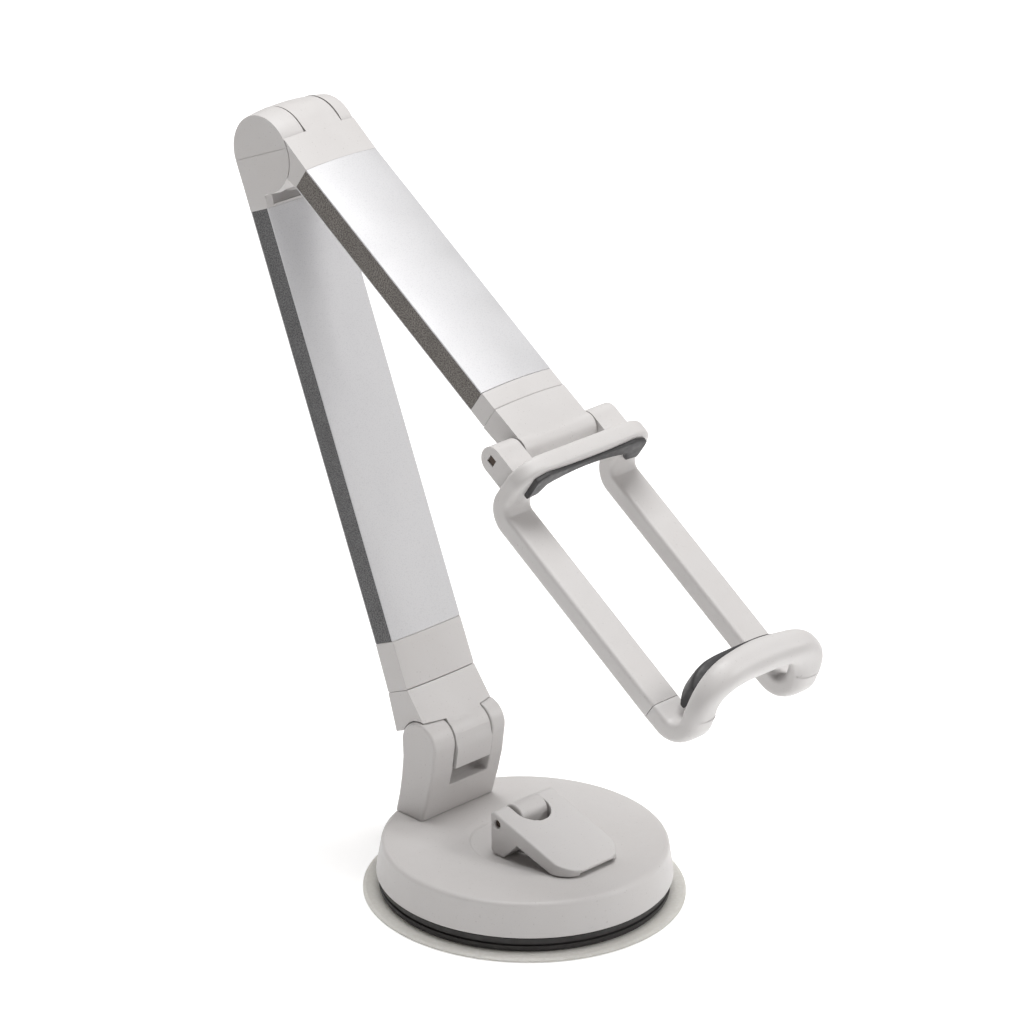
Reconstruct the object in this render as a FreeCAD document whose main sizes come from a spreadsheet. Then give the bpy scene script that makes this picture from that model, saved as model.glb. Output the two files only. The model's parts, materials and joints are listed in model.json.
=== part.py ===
"""Folding phone stand: suction base, tilting lower arm, upper arm and a sprung phone clamp.

Millimetres, +Z up. The origin is the centre of the base's underside. The hinge axes run along X
and the phone side faces -Y. Lower-arm pieces are drawn in a frame whose Z runs up the lower arm
from the base hinge and whose -Y is the arm's front. Upper-arm and clamp pieces are drawn in frames
whose Z runs down the upper arm and whose +Y is the arm's upper side.
"""

import FreeCAD, Part
import math
import os

import Sketcher

Vector = FreeCAD.Vector
Rotation = FreeCAD.Rotation
Placement = FreeCAD.Placement

DRIVING_SIZES = {
    # suction base
    "lip_radius": 43.4,
    "lip_thick": 0.8,
    "cup_radius": 39.1,
    "cup_dome_radius": 26.0,
    "cup_boss_top": 9.3,
    "housing_foot_radius": 40.0,
    "housing_rim_radius": 38.5,
    "housing_foot": 5.1,
    "housing_top": 14.8,
    "housing_wall": 2.3,
    "housing_ceiling": 11.0,
    "recess_radius": 23.6,
    "recess_step_radius": 15.2,
    "recess_step": 13.8,
    "recess_floor": 13.3,
    "stem_half_wide": 4.8,
    "stem_half_deep": 3.7,
    "stem_clearance": 0.15,
    "flange_radius": 6.0,
    "flange_bottom": 5.2,
    "flange_thick": 1.8,
    "neck_radius": 3.0,
    # cam lever
    "lever_pin_height": 22.5,
    "lever_half_wide": 11.1,
    "lever_pin_radius": 1.1,
    "notch_half_wide": 5.5,
    "notch_depth": 7.2,
    # hinge bracket
    "bracket_half_wide": 13.55,
    "bracket_hinge_back": 27.4,
    "bracket_hinge_height": 36.9,
    "bracket_ear_radius": 6.4,
    "bracket_screw_spread": 8.0,
    "bracket_screw_back": 31.0,
    # hinge tongues and their hardware
    "tongue_wide": 13.0,
    "tongue_gap": 14.0,
    "tongue_shift": 1.25,
    "running_clearance": 0.05,
    "base_bolt_radius": 1.75,
    "elbow_bolt_radius": 2.5,
    # arms
    "arm_half_wide": 12.7,
    "arm_thick": 7.2,
    "plate_edge": 0.4,
    "crown": 1.0,
    "barrel_crown": 1.1,
    "core_cavity_wide": 18.0,
    "core_cavity_thick": 4.7,
    "lower_lean": 23.65,
    "upper_drop": 33.7,
    "lower_plane": 2.7,
    "lower_seam": 15.3,
    "lower_panel_start": 29.0,
    "lower_panel_end": 149.3,
    "elbow_along": 163.5,
    "elbow_forward": 4.3,
    "elbow_radius": 10.65,
    "elbow_shoulder_radius": 11.0,
    "upper_plane": 6.2,
    "upper_panel_start": 14.3,
    "upper_panel_end": 93.1,
    "upper_seam": 99.0,
    "swivel_bolt_radius": 1.5,
    "swivel_head_radius": 2.1,
    # phone clamp
    "head_along": 110.8,
    "head_rise": 6.7,
    "head_barrel_radius": 3.9,
    "head_half_wide": 12.9,
    "clamp_pin_radius": 1.5,
    "clamp_pin_square": 2.3,
    "frame_half_wide": 24.5,
    "rail_inner": 14.8,
    "rail_top": 5.7,
    "rail_bottom": 11.4,
    "rail_end": 76.9,
    "hook_back": 6.9,
    "hook_front": 12.2,
    "hook_top": 9.2,
    "hook_window_top": 3.6,
    "frame_ear_inner": 13.5,
    "frame_ear_outer": 21.9,
    "frame_ear_radius": 3.8,
    "jaw_post_back": 84.0,
    "jaw_post_front": 90.8,
    "jaw_top": 13.8,
    "jaw_bar_bottom": 5.6,
    "jaw_bow": 6.2,
    "jaw_under_bow": 4.4,
    "rod_radius": 1.1,
    "rod_spread": 19.65,
    "rod_depth": 8.3,
}

doc = FreeCAD.newDocument("phone_stand")
sheet = doc.addObject("Spreadsheet::Sheet", "sheet")
for row, (alias, value) in enumerate(DRIVING_SIZES.items(), start=1):
    sheet.set(f"A{row}", alias)
    sheet.set(f"B{row}", str(value))
    sheet.setAlias(f"B{row}", alias)
doc.recompute()

pieces = []


def size(alias):
    return float(sheet.get(alias))


def number(token):
    """The value of a plain number, or of a sheet alias with an optional minus sign."""
    if isinstance(token, str):
        return -size(token[1:]) if token.startswith("-") else size(token)
    return float(token)


def bind(owner, path, token):
    """Tie one property or constraint to its sheet cell, if the token names one."""
    if isinstance(token, str):
        sign = "-" if token.startswith("-") else ""
        owner.setExpression(path, f"{sign}sheet.{token.lstrip('-')}")


def frame(origin_y, origin_z, about_x):
    return Placement(Vector(0, origin_y, origin_z), Rotation(Vector(1, 0, 0), about_x))


BASE = Placement()
LOWER = frame(size("bracket_hinge_back"), size("bracket_hinge_height"), -size("lower_lean"))
ELBOW_JOINT = LOWER.multiply(Placement(Vector(0, -size("elbow_forward"), size("elbow_along")), Rotation()))
ELBOW = ELBOW_JOINT.Base
UPPER = frame(ELBOW.y, ELBOW.z, 90 + size("upper_drop"))
HEAD = UPPER.multVec(Vector(0, size("head_rise"), size("head_along")))
CLAMP = frame(HEAD.y, HEAD.z, 90 + size("upper_drop"))


def keep(label, shape_object, placement=None):
    """Name a finished sub-part and put it in place."""
    shape_object.Label = label
    if placement is not None:
        shape_object.Placement = placement
    pieces.append(shape_object)
    return shape_object


def new_body(name, placement=BASE):
    body = doc.addObject("PartDesign::Body", name)
    body.Placement = placement
    return body


def new_sketch(body, plane, offset=0.0):
    sketch = body.newObject("Sketcher::SketchObject", f"{body.Name}_sketch")
    origin_plane = next(f for f in body.Origin.OriginFeatures if f.Role == plane)
    sketch.AttachmentSupport = (origin_plane, [""])
    sketch.MapMode = "FlatFace"
    sketch.AttachmentOffset = Placement(Vector(0, 0, number(offset)), Rotation())
    bind(sketch, "AttachmentOffset.Base.z", offset)
    return sketch


def draw_outline(sketch, corners, bulges=None):
    """A closed outline through its corners. bulges maps a side's number to its arc's middle point."""
    bulges = bulges or {}
    places = [Vector(number(x), number(y), 0) for x, y in corners]
    count = len(places)
    for i in range(count):
        start, end = places[i], places[(i + 1) % count]
        if i in bulges:
            middle = Vector(number(bulges[i][0]), number(bulges[i][1]), 0)
            sketch.addGeometry(Part.Arc(start, middle, end))
        else:
            sketch.addGeometry(Part.LineSegment(start, end))
    if bulges:
        return
    for i in range(count):
        sketch.addConstraint(Sketcher.Constraint("Coincident", i, 2, (i + 1) % count, 1))
    for i, corner in enumerate(corners):
        for kind, token, value in zip(("DistanceX", "DistanceY"), corner, places[i]):
            index = sketch.addConstraint(Sketcher.Constraint(kind, -1, 1, i, 1, value))
            bind(sketch, f"Constraints[{index}]", token)


def draw_circle(sketch, x, y, radius):
    circle = Part.Circle(Vector(number(x), number(y), 0), Vector(0, 0, 1), number(radius))
    sketch.addGeometry(circle)
    for kind, token in (("DistanceX", x), ("DistanceY", y)):
        index = sketch.addConstraint(Sketcher.Constraint(kind, -1, 1, 0, 3, number(token)))
        bind(sketch, f"Constraints[{index}]", token)
    index = sketch.addConstraint(Sketcher.Constraint("Radius", 0, number(radius)))
    bind(sketch, f"Constraints[{index}]", radius)


def extrude(body, sketch, length, kind="Pad", both_ways=True, flip=False):
    feature = body.newObject(f"PartDesign::{kind}", f"{body.Name}_{kind.lower()}_feature")
    feature.Profile = sketch
    feature.Length = abs(number(length))
    bind(feature, "Length", length)
    feature.Midplane = both_ways
    feature.Reversed = flip
    sketch.Visibility = False
    return feature


def pad_outline(body, plane, corners, length, offset=0.0, bulges=None, **options):
    sketch = new_sketch(body, plane, offset)
    draw_outline(sketch, corners, bulges)
    return extrude(body, sketch, length, **options)


def pad_circle(body, plane, x, y, radius, length, offset=0.0, **options):
    sketch = new_sketch(body, plane, offset)
    draw_circle(sketch, x, y, radius)
    return extrude(body, sketch, length, **options)


def cut_outline(body, plane, corners, length, offset=0.0, bulges=None, **options):
    return pad_outline(body, plane, corners, length, offset, bulges, kind="Pocket", **options)


def cut_circle(body, plane, x, y, radius, length, offset=0.0, **options):
    return pad_circle(body, plane, x, y, radius, length, offset, kind="Pocket", **options)


def round_edges(body, radius, test):
    """Fillet the edges whose middle point passes the test, in the body's own frame."""
    doc.recompute()
    tip = body.Tip
    names = []
    for i, edge in enumerate(tip.Shape.Edges, start=1):
        middle = edge.valueAt((edge.FirstParameter + edge.LastParameter) / 2)
        if test(middle, edge):
            names.append(f"Edge{i}")
    if not names:
        raise RuntimeError(f"no edge of {body.Name} to round")
    fillet = body.newObject("PartDesign::Fillet", f"{body.Name}_fillet")
    fillet.Base = (tip, names)
    fillet.Radius = number(radius)
    bind(fillet, "Radius", radius)
    doc.recompute()
    return fillet


def trim_corner(body, x, y, radius):
    """Round the upright corner at (x, y) of a shape that lies on the side of smaller y and |x|."""
    side = 1 if x > 0 else -1
    inner_x = x - side * radius
    lower_y = y - radius
    reach = radius * math.sqrt(0.5)
    cut_outline(body, "XY_Plane", [
        (x + side, lower_y), (x, lower_y), (inner_x, y), (inner_x, y + 1), (x + side, y + 1)],
        300.0, bulges={1: (inner_x + side * reach, lower_y + reach)})


def turned(name, profile, placement=BASE):
    """A turned piece: a profile of (radius, height) corners revolved about the frame's Z."""
    body = new_body(name, placement)
    sketch = new_sketch(body, "XZ_Plane")
    draw_outline(sketch, profile)
    spin = body.newObject("PartDesign::Revolution", f"{name}_turn")
    spin.Profile = sketch
    spin.ReferenceAxis = (sketch, ["V_Axis"])
    spin.Angle = 360
    sketch.Visibility = False
    return body


def along_x(placement, x, y=0.0, z=0.0):
    """A frame at (x, y, z) of another frame, with its Z turned along that frame's +X."""
    return placement.multiply(Placement(Vector(x, y, z), Rotation(Vector(0, 1, 0), 90)))


def ring_profile(inner, outer, bottom, top):
    return [(inner, bottom), (outer, bottom), (outer, top), (inner, top)]


def headed_profile(shank, head, head_thick, length):
    """Half section of a cap screw: head from 0 to head_thick, shank on to length, chamfered tip."""
    tip = 0.3
    return [(0, 0), (number(head) - tip, 0), (head, tip), (head, head_thick),
            (shank, head_thick), (shank, length - tip), (number(shank) - tip, length), (0, length)]


def group(label, bodies):
    """Several identical solids in one node."""
    compound = doc.addObject("Part::Compound", label)
    compound.Links = bodies
    return keep(label, compound)


def crown_rise(x, crown):
    """How far a face that is crowned across the arm's width stands above its edges at x."""
    half = size("arm_half_wide")
    bend = (half ** 2 + crown ** 2) / (2 * crown)
    return math.sqrt(bend ** 2 - x ** 2) - (bend - crown)


def crowned_block(body, lower_end, upper_end, left=None, right=None):
    """A loft between two sections crowned front and back, each given as (height, front y, back y, crown)."""
    left = -size("arm_half_wide") if left is None else left
    right = size("arm_half_wide") if right is None else right
    middle = (left + right) / 2
    sections = []
    for height, front, back, crown in (lower_end, upper_end):
        at_left, at_middle, at_right = (crown_rise(x, crown) for x in (left, middle, right))
        sketch = new_sketch(body, "XY_Plane", height)
        draw_outline(sketch, [(left, front - at_left), (right, front - at_right),
                              (right, back + at_right), (left, back + at_left)],
                     {0: (middle, front - at_middle), 2: (middle, back + at_middle)})
        sketch.Visibility = False
        sections.append(sketch)
    loft = body.newObject("PartDesign::AdditiveLoft", f"{body.Name}_loft")
    loft.Profile = sections[0]
    loft.Sections = [sections[1]]
    loft.Ruled = True
    return loft


def crowned_barrel(body, radius, left, right, kind="Revolution"):
    """A barrel about the frame's X axis, crowned like the arms."""
    crown = size("barrel_crown")
    middle = (left + right) / 2
    sketch = new_sketch(body, "XZ_Plane")
    draw_outline(sketch, [(left, 0), (right, 0), (right, radius + crown_rise(right, crown)),
                          (left, radius + crown_rise(left, crown))],
                 {2: (middle, radius + crown_rise(middle, crown))})
    spin = body.newObject(f"PartDesign::{kind}", f"{body.Name}_barrel")
    spin.Profile = sketch
    spin.ReferenceAxis = (sketch, ["H_Axis"])
    spin.Angle = 360
    sketch.Visibility = False
    return spin


# ---------------------------------------------------------------- suction base


def make_gel_lip():
    """Soft disc that seals on the table, drawn up in the middle by the stem."""
    body = turned("gel_lip", [
        (0, 2.3), (9.0, 2.1), ("cup_dome_radius", 0), ("lip_radius", 0),
        ("lip_radius", 0.45), (42.6, "lip_thick"), ("cup_dome_radius", "lip_thick"), (9.0, 2.8), (0, 3.0)])
    keep("gel_lip", body)


def make_suction_cup():
    """Rubber cup: a grooved rim, a flexible web and a boss moulded round the stem's flange."""
    flange_top = size("flange_bottom") + size("flange_thick")
    room = 0.05
    body = turned("suction_cup", [
        (0, 3.0), (9.0, 2.8), ("cup_dome_radius", "lip_thick"), (38.6, "lip_thick"), ("cup_radius", 1.4),
        ("cup_radius", 2.5), (38.5, 2.7), (38.5, 3.1), ("cup_radius", 3.3), ("cup_radius", 4.6),
        (38.8, 5.0), (34.0, 5.0), (28.0, 3.6), (12.0, 5.6), (9.0, "cup_boss_top"),
        (size("neck_radius") + room, "cup_boss_top"), (size("neck_radius") + room, flange_top + room),
        (size("flange_radius") + room, flange_top + room), (size("flange_radius") + room, 5.2 - room),
        (0, 5.2 - room)])
    keep("suction_cup", body)


def make_base_housing():
    inner_foot = size("housing_foot_radius") - size("housing_wall")
    inner_rim = size("housing_rim_radius") - size("housing_wall")
    ceiling_step = size("housing_top") - size("housing_wall")
    body = turned("base_housing", [
        (0, "housing_ceiling"), (25.0, "housing_ceiling"), (26.5, ceiling_step), (inner_rim, ceiling_step),
        (inner_foot, "housing_foot"), ("housing_foot_radius", "housing_foot"),
        ("housing_rim_radius", "housing_top"), ("recess_radius", "housing_top"),
        ("recess_step_radius", "recess_step"), (14.6, "recess_floor"), (0, "recess_floor")])
    half_x = size("stem_half_wide") + size("stem_clearance")
    half_y = size("stem_half_deep") + size("stem_clearance")
    cut_outline(body, "XY_Plane",
                [(-half_x, -half_y), (half_x, -half_y), (half_x, half_y), (-half_x, half_y)],
                60.0)
    for side in (-1, 1):
        cut_circle(body, "XY_Plane", side * size("bracket_screw_spread"), "bracket_screw_back", 1.7, 60.0)
    foot = size("housing_foot_radius")
    round_edges(body, 1.6, lambda p, e: abs(p.z - size("housing_top")) < 0.01
                and abs(math.hypot(p.x, p.y) - size("housing_rim_radius")) < 0.01)
    round_edges(body, 0.5, lambda p, e: abs(p.z - size("housing_foot")) < 0.01
                and abs(math.hypot(p.x, p.y) - foot) < 0.01)
    keep("base_housing", body)


def make_stem():
    """Flange held in the cup, neck, and a keyed head with a round top about the lever's pin."""
    flange_top = size("flange_bottom") + size("flange_thick")
    body = turned("suction_stem", [
        (0, "flange_bottom"), ("flange_radius", "flange_bottom"), ("flange_radius", flange_top),
        ("neck_radius", flange_top), ("neck_radius", 12.0), (0, 12.0)])
    width = 2 * size("stem_half_wide")
    pad_outline(body, "YZ_Plane", [
        ("-stem_half_deep", 10.0), ("stem_half_deep", 10.0),
        ("stem_half_deep", "lever_pin_height"), ("-stem_half_deep", "lever_pin_height")], width)
    pad_circle(body, "YZ_Plane", 0, "lever_pin_height", "stem_half_deep", width)
    cut_circle(body, "YZ_Plane", 0, "lever_pin_height", "lever_pin_radius", 60.0)
    edge_x = size("stem_half_wide")
    round_edges(body, 0.5, lambda p, e: abs(abs(p.x) - edge_x) < 0.01 and p.z > 12
                and (p.y ** 2 + (p.z - size("lever_pin_height")) ** 2) > 4)
    keep("suction_stem", body)


def make_lever():
    """Cam foot, sloping plate with a rounded tip, finger scoop under the tip, and a U notch."""
    body = new_body("lever")
    width = 2 * size("lever_half_wide")
    foot = 13.55
    pad_outline(body, "YZ_Plane", [
        (2.4, 25.2), (1.9, 14.4), (1.0, 13.75), (-0.5, foot), (-2.7, foot + 0.15), (-7.4, 18.7),
        (-20.2, 15.0), (-26.6, 15.3), (-26.9, 16.9), (-20.0, 19.1), (0.9, 25.7)], width)
    pin_height = size("lever_pin_height")
    cut_circle(body, "YZ_Plane", 0, "lever_pin_height", size("lever_pin_radius") + 0.05, 60.0)
    notch = size("notch_half_wide")
    cut_outline(body, "XY_Plane", [(-notch, 6.0), (notch, 6.0), (notch, -1.6), (-notch, -1.6)],
                80.0, bulges={2: (0, "-notch_depth")})
    half = size("lever_half_wide")
    for side in (-1, 1):
        cut_outline(body, "XY_Plane", [
            (side * (half + 2), -17.5), (side * half, -17.5), (side * 3.0, -27.2), (side * 3.0, -31.0),
            (side * (half + 2), -31.0)], 80.0, bulges={1: (side * 9.3, -24.6)})
    cut_circle(body, "YZ_Plane", -25.6, 9.2, 6.9, 13.0)
    round_edges(body, 0.45, lambda p, e: e.Length > 5 and abs(abs(p.x) - half) < 0.01 and p.z > 17)
    keep("lever", body)
    pin = turned("lever_pin", [
        (0, 0), (size("lever_pin_radius") - 0.2, 0), ("lever_pin_radius", 0.2), ("lever_pin_radius", 20.4),
        (size("lever_pin_radius") - 0.2, 20.6), (0, 20.6)], along_x(BASE, -10.3, 0, pin_height))
    keep("lever_pin", pin)


# ---------------------------------------------------------------- hinge bracket


def hex_pocket(body, offset, y, z, across_corners, depth, flip):
    corners = []
    for i in range(6):
        angle = math.radians(60 * i)
        corners.append((y + across_corners * math.cos(angle), z + across_corners * math.sin(angle)))
    sketch = new_sketch(body, "YZ_Plane", offset)
    draw_outline(sketch, corners)
    return extrude(body, sketch, depth, kind="Pocket", both_ways=False, flip=flip)


def drill_ears(body, y, z, bolt, head, outer, gap_left, nut_corners, nut_depth, head_depth):
    """Bolt bore, nut pocket inside the left ear and head counterbore in the right ear."""
    reach = abs(gap_left) + nut_depth + 1.0
    cut_circle(body, "YZ_Plane", y, z, bolt, outer + reach, (outer - reach) / 2)
    hex_pocket(body, gap_left, y, z, nut_corners, nut_depth, False)
    cut_circle(body, "YZ_Plane", y, z, head, 2 * head_depth, outer)


def make_bracket():
    body = new_body("hinge_bracket")
    wide = 2 * size("bracket_half_wide")
    back = size("bracket_hinge_back")
    height = size("bracket_hinge_height")
    radius = size("bracket_ear_radius")
    pad_outline(body, "YZ_Plane", [
        (25.6, "housing_top"), (23.4, 22.5), (21.9, 29.0), (back - radius, height), (back + radius, height),
        (33.45, 32.0), (33.9, 26.0), (34.7, 20.5), (35.95, "housing_top")], wide)
    pad_circle(body, "YZ_Plane", "bracket_hinge_back", "bracket_hinge_height", "bracket_ear_radius", wide)
    round_edges(body, 0.7, lambda p, e: abs(abs(p.x) - wide / 2) < 0.01 and p.z > size("housing_top") + 0.5)
    cut_outline(body, "YZ_Plane", [
        (15.0, 24.3), (26.5, 24.3), (31.6, 27.6), (31.6, 30.8), (40.0, 30.8), (40.0, 50.0), (15.0, 50.0)],
        "tongue_gap", "tongue_shift")
    gap_left = size("tongue_shift") - size("tongue_gap") / 2
    drill_ears(body, back, height, size("base_bolt_radius") + 0.02, 3.3, wide / 2, gap_left, 3.35, 3.2, 2.3)
    for side in (-1, 1):
        cut_circle(body, "XY_Plane", side * size("bracket_screw_spread"), "bracket_screw_back", 1.25,
                   16.0, "housing_top")
    keep("hinge_bracket", body)
    screws = []
    for side in (-1, 1):
        place = Placement(Vector(side * size("bracket_screw_spread"), size("bracket_screw_back"), 10.6),
                          Rotation())
        screws.append(turned("bracket_screw", headed_profile(1.25, 2.7, 1.9, 12.0), place))
    group("bracket_screws", screws)


def hinge_hardware(prefix, placement, y, z, bolt_radius, head_radius, head_depth, outer, nut_corners,
                   washer_radius):
    """Bolt from the right ear to the nut in the left ear, and a friction washer each side."""
    gap_left = size("tongue_shift") - size("tongue_gap") / 2
    gap_right = size("tongue_shift") + size("tongue_gap") / 2
    side_room = (size("tongue_gap") - size("tongue_wide")) / 2
    nut_left = gap_left - 2.9
    right_to_left = placement.multiply(Placement(Vector(outer - 0.2, y, z), Rotation(Vector(0, 1, 0), -90)))
    bolt = turned(f"{prefix}_bolt", headed_profile(bolt_radius, head_radius, head_depth - 0.2,
                                                   outer - 0.2 - nut_left), right_to_left)
    socket = []
    for i in range(6):
        angle = math.radians(60 * i)
        socket.append((0.55 * head_radius * math.cos(angle), 0.55 * head_radius * math.sin(angle)))
    cut_outline(bolt, "XY_Plane", socket, 2 * 1.2)
    keep(f"{prefix}_bolt", bolt)
    nut = new_body(f"{prefix}_nut", placement)
    corners = []
    for i in range(6):
        angle = math.radians(60 * i)
        corners.append((y + (nut_corners - 0.1) * math.cos(angle), z + (nut_corners - 0.1) * math.sin(angle)))
    pad_outline(nut, "YZ_Plane", corners, 2.6, gap_left - 0.2, both_ways=False, flip=True)
    cut_circle(nut, "YZ_Plane", y, z, bolt_radius, 60.0)
    keep(f"{prefix}_nut", nut)
    washers = []
    for start in (gap_left, gap_right - side_room):
        washers.append(turned(f"{prefix}_washer", ring_profile(bolt_radius + 0.03, washer_radius,
                                                               0.0, side_room - 0.03),
                              along_x(placement, start + (0.03 if start > 0 else 0.0), y, z)))
    group(f"{prefix}_washers", washers)


# ---------------------------------------------------------------- lower arm


def swivel_bolt(name, placement, y, head_z, tip_z):
    """Bolt on an arm's long axis; its tip is fixed in the knuckle and its head turns the collar."""
    direction = 1 if tip_z > head_z else -1
    turn = Rotation() if direction > 0 else Rotation(Vector(1, 0, 0), 180)
    place = placement.multiply(Placement(Vector(0, y, head_z), turn))
    keep(name, turned(name, headed_profile("swivel_bolt_radius", "swivel_head_radius", 2.0,
                                           abs(tip_z - head_z)), place))


def make_lower_knuckle():
    """Tongue with a stop apron between the bracket's ears, under a shoulder that rides over them."""
    body = new_body("lower_knuckle", LOWER)
    middle = size("lower_plane")
    half = size("arm_thick") / 2
    lip = (4.6, middle - half - 3.0, middle + half + 1.6, size("crown"))
    crowned_block(body, lip,
                  (size("lower_seam") - 0.05, middle - half - 0.1, middle + half + 0.5, size("crown")))
    cut_circle(body, "YZ_Plane", 0, 0, size("bracket_ear_radius") + 0.35, 60.0)
    left = size("tongue_shift") - size("tongue_wide") / 2
    right = left + size("tongue_wide")
    crowned_block(body, (0, -6.3, 5.0, 0.05), (4.6, middle - half - 3.0, 5.0, size("crown")), left, right)
    crowned_block(body, (4.6, middle - half - 3.0, 5.0, size("crown")),
                  (8.0, middle - half - 2.07, 5.0, size("crown")), left, right)
    pad_outline(body, "YZ_Plane", [
        (-6.3, 0), (-5.7, -4.3), (-2.7, -9.2), (0.3, -8.4), (3.0, -5.4), (6.3, 0)],
        "tongue_wide", "tongue_shift")
    pad_circle(body, "YZ_Plane", 0, 0, 6.3, "tongue_wide", "tongue_shift")
    cut_circle(body, "YZ_Plane", 0, 0, size("base_bolt_radius") + size("running_clearance"), 60.0)
    cut_circle(body, "XY_Plane", 0, middle, "swivel_bolt_radius", 2 * 8.5, "lower_seam")
    keep("lower_knuckle", body)


def arm_core(name, placement, middle, start, end):
    """Hollow extrusion between the two silver plates; its sides show as the dark strips."""
    body = new_body(name, placement)
    half = size("arm_half_wide")
    thick = size("arm_thick") / 2 - size("plate_edge")
    pad_outline(body, "XY_Plane", [
        (-half, middle - thick), (half, middle - thick), (half, middle + thick), (-half, middle + thick)],
        end - start, start, both_ways=False)
    cavity_x = size("core_cavity_wide") / 2
    cavity_y = size("core_cavity_thick") / 2
    cut_outline(body, "XY_Plane", [
        (-cavity_x, middle - cavity_y), (cavity_x, middle - cavity_y),
        (cavity_x, middle + cavity_y), (-cavity_x, middle + cavity_y)], 600.0)
    keep(name, body)


def arm_plate(name, placement, surface, outward, start, end):
    """Crowned silver plate whose flat back lies on the core."""
    body = new_body(name, placement)
    half = size("arm_half_wide")
    inner = surface - outward * size("plate_edge")
    pad_outline(body, "XY_Plane", [(-half, inner), (half, inner), (half, surface), (-half, surface)],
                end - start, start, bulges={2: (0.0, surface + outward * size("crown"))}, both_ways=False)
    keep(name, body)


def arm_collar(name, placement, seam_end, panel_end, bolt_y):
    """Moulded end cap: crowned to match the plates, bored for the swivel bolt."""
    body = new_body(name, placement)
    ordered = sorted([seam_end, panel_end], key=lambda section: section[0])
    crowned_block(body, *[(*section, size("crown")) for section in ordered])
    cut_circle(body, "XY_Plane", 0, bolt_y, size("swivel_bolt_radius") + size("running_clearance"), 300.0)
    return body


def make_lower_arm():
    middle = size("lower_plane")
    half = size("arm_thick") / 2
    start = size("lower_panel_start")
    end = size("lower_panel_end")
    collar = arm_collar("lower_collar", LOWER,
                        (size("lower_seam") + 0.05, middle - half - 0.1, middle + half + 0.5),
                        (start, middle - half, middle + half), middle)
    cut_circle(collar, "XY_Plane", 0, middle, size("swivel_head_radius") + 0.3, 2 * 9.0, start)
    keep("lower_collar", collar)
    swivel_bolt("lower_swivel_bolt", LOWER, middle, 22.2, 8.0)
    arm_core("lower_arm_core", LOWER, middle, start, end)
    arm_plate("lower_front_plate", LOWER, middle - half, -1, start, end)
    arm_plate("lower_rear_plate", LOWER, middle + half, 1, start, end)


def make_elbow_clevis():
    """Upper end of the lower arm: a block that leans forward into two crowned ears."""
    body = new_body("elbow_clevis", ELBOW_JOINT)
    middle = size("lower_plane") + size("elbow_forward")
    half = size("arm_thick") / 2
    front = middle - half
    back = middle + half
    radius = size("elbow_radius")
    outer = size("arm_half_wide")
    end = size("lower_panel_end") - size("elbow_along")
    crowned_block(body, (end, front, back, size("crown")), (end + 3.6, front - 0.2, back, size("crown")))
    crowned_block(body, (end + 3.6, front, back, size("crown")), (0, -5.0, radius, size("barrel_crown")))
    pad_outline(body, "YZ_Plane", [
        (5.0, end + 2.0), (5.0, 0), (-6.2, 0), (-6.2, -8.6),
        (front, end + 3.4), (front, end + 2.0)], 2 * outer)
    crowned_barrel(body, radius, -outer, outer)
    floor = end + 3.2
    cut_outline(body, "YZ_Plane", [(-30.0, floor), (20.0, floor), (20.0, 20.0), (-30.0, 20.0)],
                "tongue_gap", "tongue_shift")
    cut_outline(body, "YZ_Plane", [
        (-30.0, end + 0.7), (front + 1.4, end + 0.7), (front + 1.4, floor + 0.5), (-30.0, floor + 0.5)], 21.0)
    gap_left = size("tongue_shift") - size("tongue_gap") / 2
    drill_ears(body, 0, 0, size("elbow_bolt_radius") + 0.02, 4.6, outer, gap_left, 4.6, 3.2, 2.6)
    for side in (-1, 1):
        cut_outline(body, "YZ_Plane", [
            (-radius - 1, 0), (radius + 1, 0), (radius + 1, 0.25), (-radius - 1, 0.25)],
            2 * 0.15, side * outer)
    keep("elbow_clevis", body)


# ---------------------------------------------------------------- upper arm


def make_elbow_tongue():
    """Shoulder in line with the upper arm, hollowed to clear the ears, and a round tongue."""
    body = new_body("elbow_tongue", UPPER)
    middle = size("upper_plane")
    half = size("arm_thick") / 2
    outer = size("arm_half_wide")
    radius = size("elbow_radius")
    end = (size("upper_panel_start"), middle - half, middle + half, size("crown"))
    crowned_block(body, (0, middle - half - 1.8, radius - 0.05, size("barrel_crown")), end)
    crowned_barrel(body, size("elbow_shoulder_radius"), -outer - 0.1, outer + 0.1, "Groove")
    left = size("tongue_shift") - size("tongue_wide") / 2
    right = left + size("tongue_wide")
    crowned_barrel(body, radius - 0.1, left, right)
    crowned_block(body, (0, -3.0, radius - 0.1, size("barrel_crown")), end, left, right)
    cut_circle(body, "YZ_Plane", 0, 0, size("elbow_bolt_radius") + size("running_clearance"), 60.0)
    keep("elbow_tongue", body)


def make_upper_arm():
    middle = size("upper_plane")
    half = size("arm_thick") / 2
    start = size("upper_panel_start")
    end = size("upper_panel_end")
    seam = size("upper_seam")
    arm_core("upper_arm_core", UPPER, middle, start, end)
    arm_plate("upper_top_plate", UPPER, middle + half, 1, start, end)
    arm_plate("upper_under_plate", UPPER, middle - half, -1, start, end)
    collar = arm_collar("upper_collar", UPPER, (seam - 0.05, middle - half - 0.05, middle + half + 0.05),
                        (end, middle - half, middle + half), middle)
    cut_circle(collar, "XY_Plane", 0, middle, size("swivel_head_radius") + 0.2, 2 * 2.6, end)
    keep("upper_collar", collar)
    swivel_bolt("head_swivel_bolt", UPPER, middle, end + 0.5, 105.0)


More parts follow.
